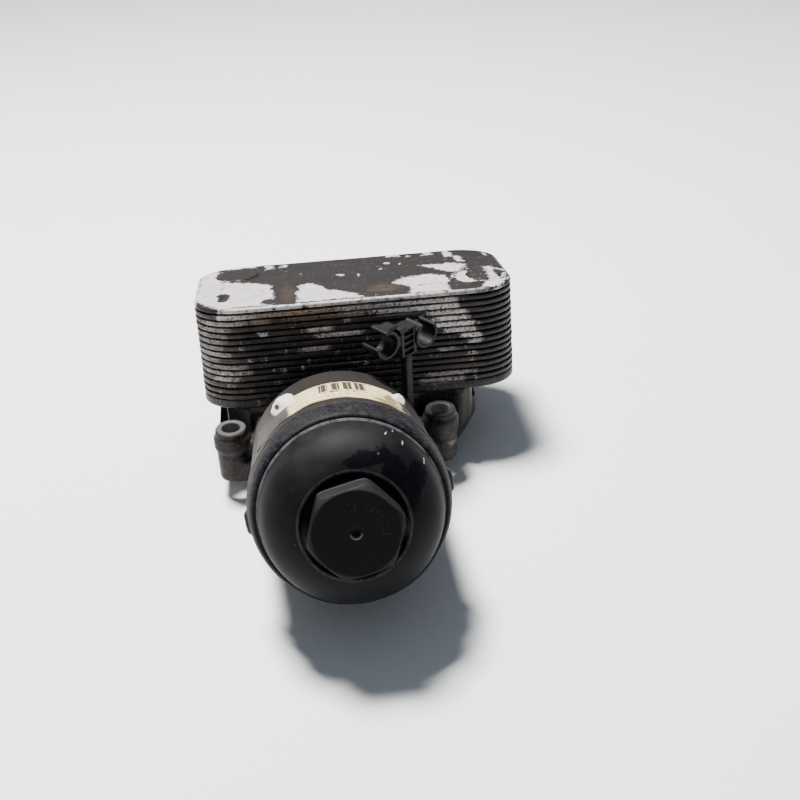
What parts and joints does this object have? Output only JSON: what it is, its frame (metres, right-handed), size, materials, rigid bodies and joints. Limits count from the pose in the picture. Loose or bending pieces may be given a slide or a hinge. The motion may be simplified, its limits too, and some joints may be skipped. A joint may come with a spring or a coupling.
{
  "type": "oil filter module",
  "caption": "Engine oil filter module: bolt-on flange with a tilted filter bowl, hex screw cap, drop-in paper cartridge and a stacked plate oil cooler.",
  "frame": {"origin": "centre of the four bolt holes, on the face that bolts to the engine block", "axes": "+Z away from the block, -Y towards the filter cap, +X along the oil cooler"},
  "size_m": [0.144, 0.2367, 0.0873],
  "materials": {
    "housing": "dusty satin black glass-filled moulding",
    "bowl": "dusty grey-brown moulding",
    "sleeve": "dull turned steel",
    "seal_green": "moulded rubber",
    "seal_black": "smooth rubber",
    "inner_plastic": "moulded",
    "valve_steel": "stamped steel",
    "cap": "oily satin black moulding with a worn grain",
    "media": "resin treated pleated paper",
    "cooler_alu": "brazed, corroded and covered in dark grime",
    "cooler_fin": "brazed",
    "screw": "zinc plated",
    "clip": "satin black moulding",
    "label": "printed paper, oil stained"
  },
  "bodies": {
    "housing": {"flange_base": "housing", "cooler_pad": "housing", "filter_bowl": "bowl", "bolt_sleeves": "sleeve", "flange_gasket": "seal_green", "standpipe": "inner_plastic", "bypass_spring": "valve_steel", "bypass_retainer": "valve_steel", "cooler_base_plate": "cooler_alu", "cooler_core_plates": "cooler_alu", "cooler_fin_sheets": "cooler_fin", "cooler_top_plate": "cooler_alu", "cooler_seal_rings": "seal_green", "cooler_screws": "screw", "line_clip": "clip", "bowl_label": "label"},
    "element": {"element_top_disc": "inner_plastic", "element_bottom_disc": "inner_plastic", "element_pleats": "media", "element_core": "inner_plastic", "element_top_seal": "seal_black", "element_bottom_seal": "seal_black", "drain_pin": "inner_plastic", "drain_pin_seal": "seal_black"},
    "cap": {"filter_cap": "cap", "cap_o_ring": "seal_black"},
    "bypass_valve": {"bypass_disc": "valve_steel"},
    "check_valve": {"check_disc": "seal_black"}
  },
  "joints": [
    {"name": "cap_lift", "type": "slide", "parent": "housing", "child": "element", "axis": [0, -0.9455, 0.3256], "range_m": [0, 0.012]},
    {"name": "cap_turn", "type": "hinge", "parent": "element", "child": "cap", "pos_m": [0, -0.1365, 0.0492], "axis": [0, -0.9455, 0.3256], "range_deg": [0, 1080]},
    {"name": "bypass_open", "type": "slide", "parent": "housing", "child": "bypass_valve", "axis": [0, 0.9455, -0.3256], "range_m": [0, 0.003], "stiffness_N_per_m": 400, "springref_m": -0.004, "deforming": ["bypass_spring"]},
    {"name": "check_open", "type": "slide", "parent": "housing", "child": "check_valve", "axis": [0, -0.9455, 0.3256], "range_m": [0, 0.0025]}
  ],
  "couplings": [
    {"joint": "cap_turn", "follows": "cap_lift", "rad_per_m": 1570.8}
  ]
}
